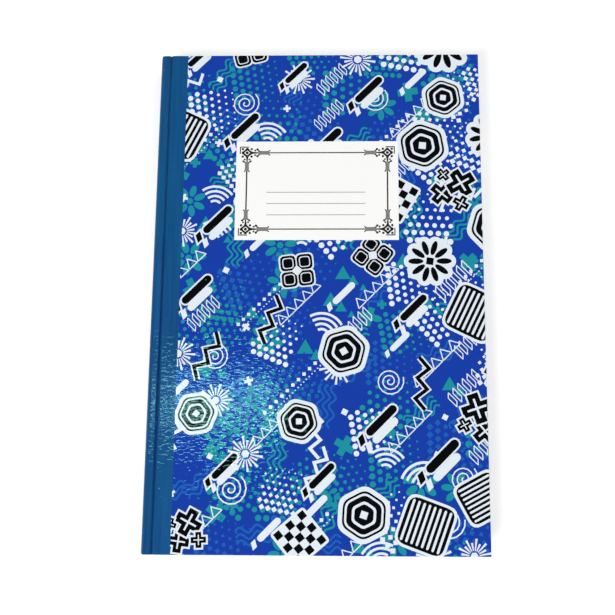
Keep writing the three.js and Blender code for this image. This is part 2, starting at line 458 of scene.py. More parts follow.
def outlined_bars(art, x, y, size, turn):
    """A ladder of slanted bars, drawn as outlines."""
    corners = [(-0.1, -0.4), (0.1, -0.2), (0.1, 0.4), (-0.1, 0.2)]
    corners = [(size * a, size * b) for a, b in corners]
    for i in range(6):
        place = away_from(x, y, (i - 2.5) * size * 0.34, 0.0, 45)
        art.closed_line("white", corners, size * 0.05, *place, 45.0)


def white_streak(art, x, y, size, turn):
    streak(art, x, y, size * 2.2, size * 0.36, 45, "white")


# Each motif with its size
teal_field = partial(fading_field, ink="teal")
UNDER_PRINT = (
    (teal_field, 11.0),
    (petals, 11.0),
    (partial(waves, ink="sky"), 11.0),
    (solid_cross, 11.0),
    (teal_field, 13.0),
    (waves, 11.0),
    (partial(fading_field, ink="sky", sides=4), 12.0),
    (triangles, 11.0),
)
MIDDLE_PRINT = (
    (fading_field, 11.5),
    (ray_burst, 11.0),
    (diamond_chain, 5.2),
    (white_streak, 11.0),
    (partial(fading_field, sides=4), 10.5),
    (arc_fan, 14.0),
    (small_cross, 9.0),
    (spiral, 9.5),
    (outlined_bars, 13.0),
    (partial(zigzag, ink="white"), 13.0),
    (open_triangles, 10.0),
    (small_diamond, 10.0),
)
OVER_PRINT = (
    (nested_hexagons, 19.0),
    (streak_pair, 15.0),
    (plus_cluster, 17.0),
    (daisy, 17.5),
    (streak_pair, 13.0),
    (striped_square, 28.0),
    (zigzag, 16.0),
    (nested_hexagons, 15.0),
    (streak_pair, 16.0),
    (checker, 23.0),
    (streak_pair, 14.0),
    (quatrefoil, 17.0),
)
LAYERS = ((UNDER_PRINT, 19.0), (MIDDLE_PRINT, 21.0), (OVER_PRINT, 35.0))


def spread_places(rng, low, high, gap):
    """Random places in a rectangle that keep at least a gap between them."""
    places = []
    for _ in range(PLACE_TRIES):
        x = rng.uniform(low[0], high[0])
        y = rng.uniform(low[1], high[1])
        if all(abs(x - other.x) > gap or math.hypot(x - other.x, y - other.y) > gap for other in places):
            places.append(Vector((x, y)))
    return places


def cover_artwork(seed):
    """Teal and pale blue shapes lowest, then white ones, and the large black and white ones on top."""
    art = Artwork("blue")
    rng = random.Random(seed)
    low = (TAPE_END_X - 4, -HALF_HEIGHT - SPREAD_PAST_EDGE)
    high = (FORE_X + SPREAD_PAST_EDGE, HALF_HEIGHT + SPREAD_PAST_EDGE)
    for motifs, gap in LAYERS:
        for count, place in enumerate(spread_places(rng, low, high, gap)):
            draw, size = motifs[count % len(motifs)]
            size *= rng.uniform(0.9, 1.1)
            turn = rng.uniform(0, 90)
            if max(place.x - FORE_X, abs(place.y) - HALF_HEIGHT) < PRINTED_BEYOND_EDGE:
                draw(art, place.x, place.y, size, turn)
    art.shapes = seen_shapes(art.shapes)
    return art


# Meshing of printed sheets


def turning_left(points):
    """The same outline, run so that its inside lies on the left."""
    area = sum(p[0] * q[1] - q[0] * p[1] for p, q in zip(points, [*points[1:], points[0]]))
    return points if area > 0 else points[::-1]


def reach_of(points):
    across, up = zip(*points)
    return min(across), min(up), max(across), max(up)


def within(point, bounds):
    left, bottom, right, top = bounds
    return left <= point.x <= right and bottom <= point.y <= top


def holds(outline, point):
    """Whether the point lies inside the outline."""
    inside = False
    for p, q in zip(outline, [*outline[1:], outline[0]]):
        if (p.y > point.y) != (q.y > point.y):
            if point.x < p.x + (q.x - p.x) * (point.y - p.y) / (q.y - p.y):
                inside = not inside
    return inside


def seen_shapes(shapes):
    """Leaves out each shape that a later, large one covers whole."""
    covers = []
    seen = []
    for ink, points in reversed(shapes):
        left, bottom, right, top = reach_of(points)
        corners = (Vector((left, bottom)), Vector((right, top)))
        near = [cover for bounds, cover in covers if all(within(corner, bounds) for corner in corners)]
        if not any(all(holds(cover, point) for point in points) for cover in near):
            seen.append((ink, points))
        if (right - left) * (top - bottom) > LARGE_SHAPE_AREA:
            covers.append(((left, bottom, right, top), points))
    return seen[::-1]


def cut_sheet(art, outline, creases):
    """Cuts the outline along every printed shape and crease. Gives a flat bmesh with its inks."""
    points = []
    edges = []
    faces = []

    def listed(run):
        start = len(points)
        points.extend(Vector(p) for p in run)
        return list(range(start, len(points)))

    faces.append(listed(turning_left(outline)))
    for _, shape in art.shapes:
        faces.append(listed(turning_left(shape)))
    for crease in creases:
        ids = listed(crease)
        edges.extend(zip(ids, ids[1:]))
    places, _, cells, _, _, sources = delaunay_2d_cdt(points, edges, faces, 1, 1e-5)
    bounds = [reach_of(points[i] for i in face) for face in faces]
    bm = bmesh.new()
    corners = [bm.verts.new((p.x, p.y, 0.0)) for p in places]
    ink_layer = bm.loops.layers.float_color.new("ink")
    for cell, source in zip(cells, sources):
        if 0 not in source:
            continue
        centre = sum((places[i] for i in cell), Vector((0.0, 0.0))) / len(cell)
        top = max((k for k in source if within(centre, bounds[k])), default=0)
        face = bm.faces.new([corners[i] for i in cell])
        ink = INKS[art.shapes[top - 1][0]] if top > 0 else INKS[art.ground]
        for loop in face.loops:
            loop[ink_layer] = ink
    loose = [v for v in bm.verts if not v.link_faces]
    bmesh.ops.delete(bm, geom=loose, context="VERTS")
    bmesh.ops.recalc_face_normals(bm, faces=bm.faces)
    if bm.faces and bm.faces[0].normal.z < 0:
        bmesh.ops.reverse_faces(bm, faces=bm.faces)
    return bm


def fold_profile(reach, depth, radius):
    """How a sheet goes round a board's edge: distance out and depth, for a length past the bend's start."""
    bend = math.pi / 2 * radius
    wall = depth - 2 * radius
    if reach <= bend:
        angle = reach / radius
        return radius * math.sin(angle), radius * (1 - math.cos(angle))
    if reach <= bend + wall:
        return radius, radius + reach - bend
    if reach <= 2 * bend + wall:
        angle = (reach - bend - wall) / radius
        return radius * math.cos(angle), radius + wall + radius * math.sin(angle)
    return -(reach - 2 * bend - wall), depth


def fold_length(depth, radius):
    return math.pi * radius + depth - 2 * radius


def fold_stations(depth, radius, turn_in):
    """Lengths past the bend's start at which the sheet needs a crease."""
    bend = math.pi / 2 * radius
    around = fold_length(depth, radius)
    stations = [bend * i / 4 for i in range(5)]
    stations += [around - bend * i / 4 for i in range(4, -1, -1)]
    stations.append(around + turn_in - radius)
    return stations


def edge_corner(inner_x, inner_y, reach, tail=False):
    """Points round the fore edge's corner, a given length past the bend's start, from head to tail."""
    shares = [1 - i / CORNER_STEPS for i in range(CORNER_STEPS + 1)]
    if tail:
        shares.reverse()
    points = []
    for share in shares:
        angle = math.pi / 2 * share
        y = inner_y + reach * math.sin(angle)
        points.append((inner_x + reach * math.cos(angle), -y if tail else y))
    return points


def contour(inner_x, inner_y, reach):
    """The line a given length past the bend's start, round the head, fore edge and tail of a cover."""
    points = [(TAPE_END_X, inner_y + reach)]
    points += edge_corner(inner_x, inner_y, reach)
    points += edge_corner(inner_x, inner_y, reach, tail=True)
    points.append((TAPE_END_X, -inner_y - reach))
    return points


def object_from(bm, name, material, over=False):
    """The piece's object. What is drawn for the front cover is turned over, about X, for the back one."""
    if over:
        for vert in bm.verts:
            vert.co = Vector((vert.co.x, -vert.co.y, BOOK_TOP - vert.co.z))
    bmesh.ops.scale(bm, vec=(MM, MM, MM), verts=bm.verts)
    mesh = bpy.data.meshes.new(name)
    bm.to_mesh(mesh)
    bm.free()
    made = bpy.data.objects.new(name, mesh)
    bpy.context.scene.collection.objects.link(made)
    mesh.materials.append(material)
    return made


def thicken(piece, thickness, offset=-1.0, even=True):
    solid = piece.modifiers.new("thickness", "SOLIDIFY")
    solid.thickness = thickness * MM
    solid.offset = offset
    solid.use_even_offset = even
    solid.use_rim = True
    return settled(piece)


def settled(piece):
    """Makes the modifiers part of the mesh, and keeps its corners crisp."""
    depsgraph = bpy.context.evaluated_depsgraph_get()
    mesh = bpy.data.meshes.new_from_object(piece.evaluated_get(depsgraph), depsgraph=depsgraph)
    piece.modifiers.clear()
    spare = piece.data
    piece.data = mesh
    bpy.data.meshes.remove(spare)
    mesh.name = piece.name
    bm = bmesh.new()
    bm.from_mesh(mesh)
    for face in bm.faces:
        face.smooth = True
    for edge in bm.edges:
        edge.smooth = len(edge.link_faces) == 2 and edge.calc_face_angle(0.0) < SHARP_EDGE
    bm.to_mesh(mesh)
    bm.free()
    return piece


def grid_points(bm, columns, rows):
    """A new grid. Gives each of its points with its column and row."""
    made = bmesh.ops.create_grid(bm, x_segments=columns, y_segments=rows, size=0.5)
    for vert in made["verts"]:
        yield vert, round((vert.co.x + 0.5) * columns), round((vert.co.y + 0.5) * rows)


# Materials


class Shader:
    """A node tree with short ways to add and join nodes."""

    def __init__(self, tree):
        self.tree = tree
        self.tree.nodes.clear()

    def node(self, kind, given=None, **values):
        """A new node. Its inputs are given numbers, colours or the outputs of other nodes."""
        made = self.tree.nodes.new(kind)
        for key, value in values.items():
            setattr(made, key, value)
        for label, value in (given or {}).items():
            self.set(made.inputs[label], value)
        return made

    def join(self, source, target):
        self.tree.links.new(source, target)

    def set(self, socket, value):
        if isinstance(value, bpy.types.NodeSocket):
            self.join(value, socket)
        elif value is not None:
            socket.default_value = value

    def math(self, operation, first, second=None, third=None, clamp=False):
        given = {0: first, 1: second, 2: third}
        return self.node("ShaderNodeMath", given, operation=operation, use_clamp=clamp).outputs[0]

    def times(self, first, second):
        return self.math("MULTIPLY", first, second)

    def attribute(self, name, output="Fac"):
        return self.node("ShaderNodeAttribute", attribute_name=name).outputs[output]

    def scaled(self, vector, scale):
        return self.node("ShaderNodeVectorMath", {0: vector, "Scale": scale}, operation="SCALE").outputs[0]

    def noise(self, vector, scale, detail=3.0, roughness=0.5, distortion=0.0):
        given = {"Vector": vector, "Scale": scale, "Detail": detail}
        given |= {"Roughness": roughness, "Distortion": distortion}
        return self.node("ShaderNodeTexNoise", given).outputs["Fac"]

    def mapping(self, vector, scale=(1.0, 1.0, 1.0), rotation=(0.0, 0.0, 0.0)):
        given = {"Vector": vector, "Scale": scale, "Rotation": rotation}
        return self.node("ShaderNodeMapping", given).outputs[0]

    def ramp(self, value, low, high):
        given = {"Value": value, "From Min": low, "From Max": high}
        return self.node("ShaderNodeMapRange", given, interpolation_type="SMOOTHSTEP").outputs["Result"]

    def mix(self, share, first, second, blend="MIX"):
        given = {0: share, 6: first, 7: second}
        return self.node("ShaderNodeMix", given, data_type="RGBA", blend_type=blend).outputs[2]

    def bump(self, height, strength, distance, normal=None):
        given = {"Height": height, "Strength": strength, "Distance": distance, "Normal": normal}
        return self.node("ShaderNodeBump", given).outputs[0]


class Finish(Shader):
    """A material with one surface shader, placed by Object coordinates."""

    def __init__(self, name):
        self.material = bpy.data.materials.new(name)
        self.material.use_nodes = True
        super().__init__(self.material.node_tree)
        self.surface = self.node("ShaderNodeBsdfPrincipled")
        self.node("ShaderNodeOutputMaterial", {"Surface": self.surface.outputs[0]})
        self.place = self.node("ShaderNodeTexCoord").outputs["Object"]

    def effect(self, tree, **values):
        """Places a shared node group with its own values, and gives its outputs."""
        return self.node("ShaderNodeGroup", {"Vector": self.place, **values}, node_tree=tree).outputs

    def fix(self, **values):
        """Sets numbers and colours that are the same all over on the shader's own sockets."""
        for label, value in values.items():
            self.surface.inputs[label.replace("_", " ")].default_value = value

    def done(self, colour, roughness, normal, **fixed):
        self.join(colour, self.surface.inputs["Base Color"])
        self.set(self.surface.inputs["Roughness"], roughness)
        self.join(normal, self.surface.inputs["Normal"])
        if "Coat_Weight" in fixed:
            self.join(normal, self.surface.inputs["Coat Normal"])
        self.fix(**fixed)
        return self.material


def group(name, outputs, **values):
    """A new shader node group with a Vector and named values. Gives its tree, shader, inputs and outputs."""
    tree = bpy.data.node_groups.new(name, "ShaderNodeTree")
    tree.interface.new_socket("Vector", in_out="INPUT", socket_type="NodeSocketVector")
    for label, value in values.items():
        socket = tree.interface.new_socket(label, in_out="INPUT", socket_type="NodeSocketFloat")
        socket.default_value = value
    for label in outputs:
        tree.interface.new_socket(label, in_out="OUTPUT", socket_type="NodeSocketFloat")
    sh = Shader(tree)
    return tree, sh, sh.node("NodeGroupInput").outputs, sh.node("NodeGroupOutput").inputs


def laminate_group():
    """Glossy film over paper: a fine orange-peel ripple on slow waves where the film has pulled."""
    tree, sh, given, out = group("laminate film", ("Height", "Gloss"), Ripple=1.0, Wave=1.0)
    stretched = sh.mapping(given["Vector"], scale=(0.4, 1.0, 1.0))
    fine = sh.noise(stretched, 1300.0, detail=0.0)
    coarse = sh.noise(stretched, 560.0, detail=0.0, distortion=0.8)
    slow = sh.noise(stretched, 26.0, detail=1.0, roughness=0.4)
    ripple = sh.times(sh.math("ADD", sh.times(fine, 0.4), sh.times(coarse, 1.5)), given["Ripple"])
    pulled = sh.times(slow, sh.times(given["Wave"], 3.0))
    sh.join(sh.math("ADD", ripple, pulled), out["Height"])
    smear = sh.noise(given["Vector"], 55.0, detail=4.0, roughness=0.6)
    sh.join(sh.math("MULTIPLY_ADD", smear, 0.2, 0.4), out["Gloss"])
    return tree


def fibre_group():
    """Paper: short fibres that stand a little proud and mottle the shade."""
    tree, sh, given, out = group("paper fibre", ("Height", "Shade"), Scale=1.0)
    scaled = sh.scaled(given["Vector"], given["Scale"])
    along = sh.mapping(scaled, scale=(1.0, 0.35, 1.0))
    across = sh.mapping(scaled, scale=(0.4, 1.0, 1.0), rotation=(0.0, 0.0, 0.5))
    first = sh.noise(along, 2600.0, roughness=0.65)
    second = sh.noise(across, 1900.0, roughness=0.65)
    sh.join(sh.math("ADD", first, second), out["Height"])
    cloud = sh.noise(scaled, 140.0, detail=5.0, roughness=0.7)
    sh.join(sh.math("MULTIPLY_ADD", cloud, 0.5, sh.times(first, 0.5)), out["Shade"])
    return tree


def grain_group():
    """Bookbinding tape: a fine woven emboss with slack streaks along its length."""
    tree, sh, given, out = group("tape grain", ("Height", "Shade"), Scale=1.0)
    scaled = sh.scaled(given["Vector"], given["Scale"])
    woven = {"Vector": sh.mapping(scaled, scale=(1.0, 0.6, 1.0)), "Scale": 1700.0}
    grains = sh.node("ShaderNodeTexVoronoi", woven, feature="SMOOTH_F1")
    slack = sh.noise(sh.mapping(scaled, scale=(1.0, 0.045, 1.0)), 420.0, detail=4.0, roughness=0.6)
    pull = sh.noise(sh.mapping(scaled, scale=(1.0, 0.12, 1.0)), 120.0, detail=2.0)
    height = sh.math("MULTIPLY_ADD", grains.outputs["Distance"], 0.4, sh.times(slack, 0.9))
    sh.join(sh.math("ADD", height, sh.times(pull, 1.4)), out["Height"])
    sh.join(sh.math("MULTIPLY_ADD", slack, 0.6, sh.times(pull, 0.4)), out["Shade"])
    return tree


LAMINATE = laminate_group()
FIBRE = fibre_group()
GRAIN = grain_group()


def print_material():
    """Ink on paper under a clear film, rubbed along the edges. The colour is the sheet's own ink."""
    sh = Finish("laminated print")
    film = sh.effect(LAMINATE, Ripple=1.0, Wave=1.0)
    fibre = sh.effect(FIBRE, Scale=1.0)
    density = sh.times(sh.ramp(fibre["Shade"], 0.3, 0.75), 0.12)
    printed = sh.mix(density, sh.attribute("ink", "Color"), srgb(150, 160, 190), "MULTIPLY")
    scuff = sh.ramp(sh.noise(sh.place, 900.0, detail=4.0, roughness=0.7), 0.5, 0.72)
    rubbed = sh.math("MULTIPLY", sh.times(sh.attribute("wear"), scuff), 0.55, clamp=True)
    colour = sh.mix(rubbed, printed, srgb(214, 222, 232))
    normal = sh.bump(film["Height"], strength=1.0, distance=0.00005)
    gloss = {"Coat_Weight": 1.0, "Coat_Roughness": 0.04, "Specular_IOR_Level": 0.05}
    return sh.done(colour, film["Gloss"], normal, **gloss)


def tape_material():
    """Blue book cloth under film: streaked, with painted shade in the groove, faded in clouds and chipped at
    its edges.
    """
    sh = Finish("spine tape")
    grain = sh.effect(GRAIN, Scale=1.0)
    film = sh.effect(LAMINATE, Ripple=0.9, Wave=0.6)
    shade = sh.ramp(grain["Shade"], 0.34, 0.66)
    colour = sh.mix(shade, srgb(8, 68, 122), srgb(17, 83, 142))
    # Painted shade: the cloth is darkened towards deep blue where the tape dips into the groove.
    colour = sh.mix(sh.times(sh.attribute("groove"), 0.7), colour, srgb(4, 40, 92))
    faded = sh.ramp(sh.noise(sh.place, 7.0, detail=2.0), 0.4, 0.65)
    colour = sh.mix(sh.times(faded, 0.4), colour, srgb(10, 90, 134))
    worn = sh.attribute("wear")
    colour = sh.mix(sh.times(worn, 0.3), colour, srgb(20, 42, 70))
    chips = sh.ramp(sh.noise(sh.place, 330.0, roughness=0.6), 0.68, 0.71)
    colour = sh.mix(sh.times(worn, chips), colour, srgb(176, 196, 210))
    roughness = sh.math("MULTIPLY_ADD", shade, 0.12, 0.3)
    normal = sh.bump(grain["Height"], strength=0.25, distance=0.00003)
    normal = sh.bump(film["Height"], strength=1.0, distance=0.00005, normal=normal)
    gloss = {"Coat_Weight": 0.6, "Coat_Roughness": 0.06, "Specular_IOR_Level": 0.2}
    return sh.done(colour, roughness, normal, **gloss)


def label_material():
    sh = Finish("label paper")
    fibre = sh.effect(FIBRE, Scale=1.0)
    shade = sh.ramp(fibre["Shade"], 0.3, 0.8)
    colour = sh.mix(sh.times(shade, 0.05), sh.attribute("ink", "Color"), srgb(196, 198, 204))
    roughness = sh.math("MULTIPLY_ADD", shade, 0.12, 0.4)
    normal = sh.bump(fibre["Height"], strength=0.25, distance=0.00002)
    return sh.done(colour, roughness, normal, Specular_IOR_Level=0.4)


LINE_EVERY = 0.004
LINE_HALF_WIDTH = 0.00011
RULED_CENTRE_Y = -0.008
RULED_HALF_HEIGHT = 0.1455


def ruling(sh):
    """Where the writing lines run, in metres along Y. The head margin stays bare."""
    y = sh.node("ShaderNodeSeparateXYZ", {0: sh.place}).outputs["Y"]
    line = sh.math("LESS_THAN", sh.math("PINGPONG", sh.math("ADD", y, 1.0), LINE_EVERY), LINE_HALF_WIDTH)
    from_centre = sh.math("ABSOLUTE", sh.math("ADD", y, -RULED_CENTRE_Y))
    return sh.times(line, sh.math("LESS_THAN", from_centre, RULED_HALF_HEIGHT))


def paper_material(name, colour, shadow, ruled=False):
    sh = Finish(name)
    fibre = sh.effect(FIBRE, Scale=0.8)
    shade = sh.ramp(fibre["Shade"], 0.3, 0.8)
    base = sh.mix(sh.times(shade, 0.5), colour, shadow)
    if ruled:
        base = sh.mix(sh.times(ruling(sh), 0.7), base, srgb(120, 150, 190))
    roughness = sh.math("MULTIPLY_ADD", shade, 0.1, 0.82)
    normal = sh.bump(fibre["Height"], strength=0.3, distance=0.00003)
    return sh.done(base, roughness, normal, Specular_IOR_Level=0.25)


def board_material():
    """Grey board, pressed in layers."""
    sh = Finish("grey board")
    fibre = sh.effect(FIBRE, Scale=0.45)
    layers = sh.noise(sh.mapping(sh.place, scale=(0.15, 0.15, 6.0)), 900.0, roughness=0.6)
    shade = sh.ramp(sh.math("MULTIPLY_ADD", layers, 0.5, sh.times(fibre["Shade"], 0.5)), 0.3, 0.7)
    colour = sh.mix(shade, srgb(140, 128, 112), srgb(176, 166, 150))
    roughness = sh.math("MULTIPLY_ADD", shade, 0.08, 0.86)
    return sh.done(colour, roughness, sh.bump(fibre["Height"], strength=0.5, distance=0.00006))


def lining_material():
    """Open-woven cloth on the back of the sections."""
    sh = Finish("lining cloth")
    given = {"Vector": sh.mapping(sh.place, rotation=(0.0, math.pi / 2, 0.0)), "Scale": 900.0}
    given |= {"Color1": srgb(226, 220, 202), "Color2": srgb(236, 232, 218), "Mortar": srgb(168, 160, 140)}
    threads = sh.node("ShaderNodeTexBrick", given)
    normal = sh.bump(threads.outputs["Fac"], strength=0.5, distance=0.00005)
    return sh.done(threads.outputs["Color"], 0.9, normal)


def glue_material():
    sh = Finish("dry glue")
    lumps = sh.noise(sh.place, 420.0, detail=4.0, roughness=0.6)
    colour = sh.mix(sh.ramp(lumps, 0.35, 0.7), srgb(208, 192, 140), srgb(236, 226, 188))
    roughness = sh.math("MULTIPLY_ADD", lumps, 0.2, 0.3)
    return sh.done(colour, roughness, sh.bump(lumps, strength=0.5, distance=0.0001))


PRINT = print_material()
TAPE = tape_material()
LABEL = label_material()
LEAVES = paper_material("writing paper", srgb(250, 249, 245), srgb(232, 230, 222), ruled=True)
ENDPAPER = paper_material("endpaper", srgb(244, 243, 238), srgb(222, 219, 210))
BOARD = board_material()
LINING = lining_material()
GLUE = glue_material()


# Pieces


def cover_sheet(name, seed, over):
    """The printed paper of one cover, folded round the head, the fore edge and the tail of its board."""
    inner_x = FORE_X - EDGE_ROUND
    inner_y = HALF_HEIGHT - EDGE_ROUND
    bend = math.pi / 2 * EDGE_ROUND
    stations = fold_stations(COVER_DEPTH, EDGE_ROUND, TURN_IN)
    around = fold_length(COVER_DEPTH, EDGE_ROUND)
    flap = stations[-1]
    mitre = flap - around
    outline = [(TAPE_END_X, inner_y + flap), (inner_x - mitre, inner_y + flap)]
    outline += edge_corner(inner_x, inner_y, around)
    outline += [(inner_x + flap, inner_y - mitre), (inner_x + flap, -inner_y + mitre)]
    outline += edge_corner(inner_x, inner_y, around, tail=True)
    outline += [(inner_x - mitre, -inner_y - flap), (TAPE_END_X, -inner_y - flap)]
    creases = [contour(inner_x, inner_y, reach) for reach in stations[:-1]]
    bm = cut_sheet(cover_artwork(seed), outline, creases)
    wear = bm.verts.layers.float.new("wear")
    for vert in bm.verts:
        out_x = max(0.0, vert.co.x - inner_x)
        out_y = max(0.0, abs(vert.co.y) - inner_y)
        reach = math.hypot(out_x, out_y)
        vert[wear] = max(0.0, 1 - abs(reach - bend / 2) / bend) if reach > 0 else 0.0
        if reach <= 1e-9:
            vert.co.z = BOOK_TOP
            continue
        along = Vector((out_x / reach, math.copysign(out_y / reach, vert.co.y)))
        distance, depth = fold_profile(reach, COVER_DEPTH, EDGE_ROUND)
        base_x = min(vert.co.x, inner_x)
        base_y = math.copysign(min(abs(vert.co.y), inner_y), vert.co.y)
        vert.co = Vector((base_x + along.x * distance, base_y + along.y * distance, BOOK_TOP - depth))
    return thicken(object_from(bm, name, PRINT, over), WRAP, even=False)


def tape_path():
    """Points across the tape's outside, from mid-spine to the printed paper, each with the one inside it."""
    middle = BOOK_TOP / 2
    flat_steps = 6
    round_steps = 12
    groove_steps = 16
    path = []
    for i in range(flat_steps):
        z = middle + (BOOK_TOP - SPINE_ROUND - middle) * i / flat_steps
        path.append(((SPINE_X, z), (SPINE_X + SPINE_TURN_DEPTH, z)))
    for i in range(round_steps + 1):
        share = i / round_steps
        angle = math.pi - math.pi / 2 * i / round_steps
        x = SPINE_X + SPINE_ROUND + SPINE_ROUND * math.cos(angle)
        z = BOOK_TOP - SPINE_ROUND + SPINE_ROUND * math.sin(angle)
        inner_x = SPINE_X + SPINE_TURN_DEPTH + (SPINE_ROUND - SPINE_TURN_DEPTH) * share
        path.append(((x, z), (inner_x, BOOK_TOP - COVER_DEPTH - (1 - share) * (SPINE_ROUND - COVER_DEPTH))))
    across = [SPINE_X + SPINE_ROUND + 1.0]
    across += [GROOVE_X + GROOVE_HALF_WIDTH * (i * 2 / groove_steps - 1) for i in range(groove_steps + 1)]
    across += [GROOVE_X + 2.2, GROOVE_X + 4.0, GROOVE_X + 8.0, TAPE_END_X]
    for x in across:
        path.append(((x, BOOK_TOP - groove_dip(x)), (x, BOOK_TOP - COVER_DEPTH)))
    return path


def groove_dip(x):
    share = abs(x - GROOVE_X) / GROOVE_HALF_WIDTH
    if share >= 1:
        return 0.0
    return GROOVE_DEPTH * (0.5 + 0.5 * math.cos(math.pi * share)) ** 1.1


def corner_set_in(x):
    """How far the spine's rounded corners lie inside the head and tail, seen from above."""
    away = SPINE_CORNER - (x - SPINE_X)
    if away <= 0:
        return 0.0
    return SPINE_CORNER - math.sqrt(max(0.0, SPINE_CORNER**2 - away**2))


def strip_board(name, over):
    """The narrow strip of board between the spine and the groove, with its corners rounded."""
    low = Vector((strip_low.x, strip_low.z))
    high = Vector((strip_high.x, strip_high.z))
    radius = SPINE_ROUND - WRAP
    steps = 10
    centre = Vector((low.x + radius, high.y - radius))
    start = math.pi - math.asin(max(0.0, low.y - centre.y) / radius)
    outline = []
    for i in range(steps + 1):
        angle = start + (math.pi / 2 - start) * i / steps
        outline.append((centre.x + radius * math.cos(angle), centre.y + radius * math.sin(angle)))
    outline += [(high.x, high.y), (high.x, low.y)]
    bm = bmesh.new()
    end_face = bm.faces.new([bm.verts.new((x, -1.0, z)) for x, z in outline])
    drawn = bmesh.ops.extrude_face_region(bm, geom=[end_face])
    far = [part for part in drawn["geom"] if isinstance(part, bmesh.types.BMVert)]
    bmesh.ops.translate(bm, vec=(0.0, 2.0, 0.0), verts=far)
    for vert in bm.verts:
        vert.co.y = math.copysign(strip_high.y - corner_set_in(vert.co.x - WRAP), vert.co.y)
    bmesh.ops.triangulate(bm, faces=[face for face in bm.faces if len(face.verts) > 4])
    bmesh.ops.recalc_face_normals(bm, faces=bm.faces)
    return settled(object_from(bm, name, BOARD, over))


def tape_sheet(name, over):
    """Half of the spine tape, from the middle of the spine to one cover, turned in at head and tail."""
    path = tape_path()
    lengths = fold_stations(COVER_DEPTH, EDGE_ROUND, TURN_IN)
    around = fold_length(COVER_DEPTH, EDGE_ROUND)
    flat = [HALF_HEIGHT - EDGE_ROUND - 30.0 * i for i in range(1, 6)]
    half_rows = len(lengths) + len(flat)
    bm = bmesh.new()
    wear = bm.verts.layers.float.new("wear")
    groove = bm.verts.layers.float.new("groove")
    for vert, column, row in grid_points(bm, len(path) - 1, 2 * half_rows):
        (x, z), (inner_x, inner_z) = path[column]
        depth = math.hypot(inner_x - x, inner_z - z)
        radius = min(EDGE_ROUND, depth / 2 - 0.01)
        step = abs(row - half_rows)
        if step <= len(flat):
            distance = flat[len(flat) - step] if step else 0.0
            down = 0.0
        else:
            reach = lengths[step - len(flat) - 1]
            if reach <= around:
                reach *= fold_length(depth, radius) / around
            else:
                reach += fold_length(depth, radius) - around
            distance, down = fold_profile(reach, depth, radius)
            distance += HALF_HEIGHT - radius - corner_set_in(x)
        share = down / depth
        # How far the tape dips into the groove here; the tape material paints shade into the groove with
        # this mask.
        vert[groove] = groove_dip(x) / GROOVE_DEPTH
        vert[wear] = 1.0 if 0.02 < share < 0.7 else 0.0
        if step == len(flat) + 1:
            vert[wear] = max(0.0, 0.7 - (x - SPINE_X) / 12)
        y = math.copysign(distance, row - half_rows)
        vert.co = Vector((x + (inner_x - x) * share, y, z + (inner_z - z) * share))
    bmesh.ops.recalc_face_normals(bm, faces=bm.faces)
    top = max(bm.faces, key=lambda f: f.calc_center_median().z)
    if top.normal.z < 0:
        bmesh.ops.reverse_faces(bm, faces=bm.faces)
    return thicken(object_from(bm, name, TAPE, over), WRAP)


def corner_ornament(art, x, y, side_x, side_y):
    """An eye in a rhombus with four dots, a bracket outside it and a hatched spindle along each side."""

    def dots(places, radius):
        for u, v in places:
            art.fill("frame", circle(radius, 14), x + u, y + v)

    art.fill("frame", [(3.9, 0.0), (0.0, 3.6), (-3.9, 0.0), (0.0, -3.6)], x, y)
    dots(((2.6, 0.0), (-2.6, 0.0), (0.0, 2.3), (0.0, -2.3)), 1.15)
    dots(((2.95, 2.6), (-2.95, 2.6), (-2.95, -2.6), (2.95, -2.6)), 0.82)
    eye = rounded([(2.0, 0.0), (0.0, 1.8), (-2.0, 0.0), (0.0, -1.8)], 0.5)
    art.fill("paper", eye, x, y)
    art.fill("frame", circle(1.0, 20), x, y)
    outer_x = x + side_x * 4.6
    outer_y = y + side_y * 4.0
    bracket = [(outer_x - side_x * 5.8, outer_y), (outer_x, outer_y), (outer_x, outer_y - side_y * 4.8)]
    art.line("grey", bracket, 0.75)
    spindle(art, x, y, 0, -side_x, 1.0)
    spindle(art, x, y, 90, -side_y, SPINDLE_UPRIGHT)


def spindle(art, x, y, turn, toward, stretch):
    """A pointed stem and a hatched band between curled ends. It lies along X before it is turned."""

    def put(ink, points, width=None):
        points = [(toward * stretch * u, v) for u, v in points]
        if width:
            art.line(ink, points, width, x, y, turn)
        else:
            art.fill(ink, points, x, y, turn)

    put("frame", [(2.6, -1.05), (4.4, -0.66), (7.8, -0.36), (7.8, 0.36), (4.4, 0.66), (2.6, 1.05)])
    put("tint", [(7.3, -1.4), (11.2, -1.2), (14.9, -1.35), (14.9, 1.35), (11.2, 1.2), (7.3, 1.4)])
    for i in range(6):
        v = -1.15 + 0.46 * i
        put("hatch", [(7.3, v * 1.12), (11.2, v * 0.96), (14.9, v * 1.08)], 0.3)
    for v in (-1, 1):
        put("frame", [(8.4, 1.2 * v), (7.7, 1.6 * v), (7.1, 2.2 * v)], 0.75)
        put("frame", moved(circle(0.8, 12), 6.9, 2.4 * v))
        put("grey", moved(circle(0.7, 12), 5.4, 1.65 * v))
        put("frame", [(14.5, 1.1 * v), (15.5, 1.8 * v)], 0.8)


